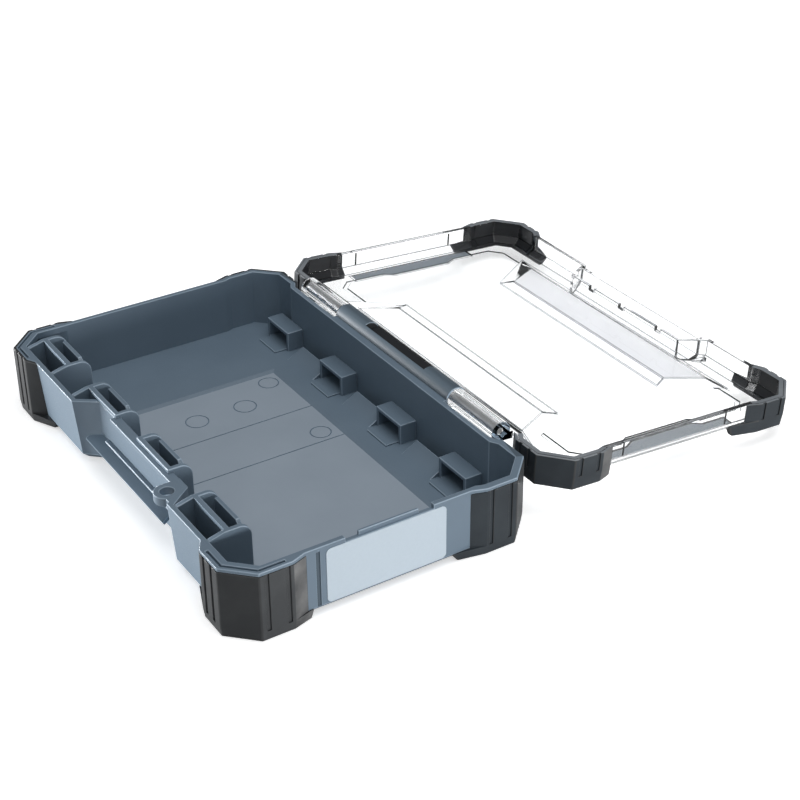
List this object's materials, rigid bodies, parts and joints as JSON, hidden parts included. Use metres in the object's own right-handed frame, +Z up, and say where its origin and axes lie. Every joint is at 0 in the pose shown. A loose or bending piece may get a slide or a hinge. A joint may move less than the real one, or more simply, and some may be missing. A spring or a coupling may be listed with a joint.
{
  "type": "accessory storage case",
  "caption": "Shallow rectangular accessory storage case with a clear hinged lid, rubber corners, and spring clips and sockets for slide-in inserts.",
  "frame": {"origin": "under the middle of the hinge axis, on the plane of the tray's feet; that is the middle of the open case's plan to 0.2 mm", "axes": "+X along the hinge to the labelled side, +Y from the front recess to the hinge and the open lid, +Z up"},
  "size_m": [0.225, 0.289, 0.0369],
  "materials": {
    "tray_plastic": "fine moulded satin",
    "corner_rubber": "matt charcoal rubber",
    "clear_lid": "clear, glossy",
    "pin_steel": "drawn steel",
    "label_paper": "blank paper sticker"
  },
  "bodies": {
    "tray": {"tray_shell": "tray_plastic", "grip_rail": "tray_plastic", "hinge_pin_left": "pin_steel", "hinge_pin_right": "pin_steel", "side_label": "label_paper", "tray_bumper_front_left": "corner_rubber", "tray_bumper_front_right": "corner_rubber", "tray_bumper_rear_left": "corner_rubber", "tray_bumper_rear_right": "corner_rubber", "clip_frame_1": "tray_plastic", "clip_frame_2": "tray_plastic", "clip_frame_3": "tray_plastic", "clip_frame_4": "tray_plastic", "rear_socket_1": "tray_plastic", "rear_socket_2": "tray_plastic", "rear_socket_3": "tray_plastic", "rear_socket_4": "tray_plastic"},
    "lid": {"lid_shell": "clear_lid", "lid_bumper_front_left": "corner_rubber", "lid_bumper_front_right": "corner_rubber", "lid_bumper_rear_left": "corner_rubber", "lid_bumper_rear_right": "corner_rubber"},
    "clip_tongue_1": {"clip_tongue_1": "tray_plastic"},
    "clip_tongue_2": {"clip_tongue_2": "tray_plastic"},
    "clip_tongue_3": {"clip_tongue_3": "tray_plastic"},
    "clip_tongue_4": {"clip_tongue_4": "tray_plastic"}
  },
  "joints": [
    {"name": "lid_hinge", "type": "hinge", "parent": "tray", "child": "lid", "pos_m": [0, 0, 0.03171], "axis": [1, 0, 0], "range_deg": [0, 183.9]},
    {"name": "clip_flex_1", "type": "hinge", "parent": "tray", "child": "clip_tongue_1", "pos_m": [-0.08305, -0.12242, 0.0052], "axis": [1, 0, 0], "range_deg": [0, 4], "stiffness_Nm_per_rad": 0.5},
    {"name": "clip_flex_2", "type": "hinge", "parent": "tray", "child": "clip_tongue_2", "pos_m": [-0.03235, -0.12242, 0.0052], "axis": [1, 0, 0], "range_deg": [0, 4], "stiffness_Nm_per_rad": 0.5},
    {"name": "clip_flex_3", "type": "hinge", "parent": "tray", "child": "clip_tongue_3", "pos_m": [0.01835, -0.12242, 0.0052], "axis": [1, 0, 0], "range_deg": [0, 4], "stiffness_Nm_per_rad": 0.5},
    {"name": "clip_flex_4", "type": "hinge", "parent": "tray", "child": "clip_tongue_4", "pos_m": [0.06905, -0.12242, 0.0052], "axis": [1, 0, 0], "range_deg": [0, 4], "stiffness_Nm_per_rad": 0.5}
  ]
}
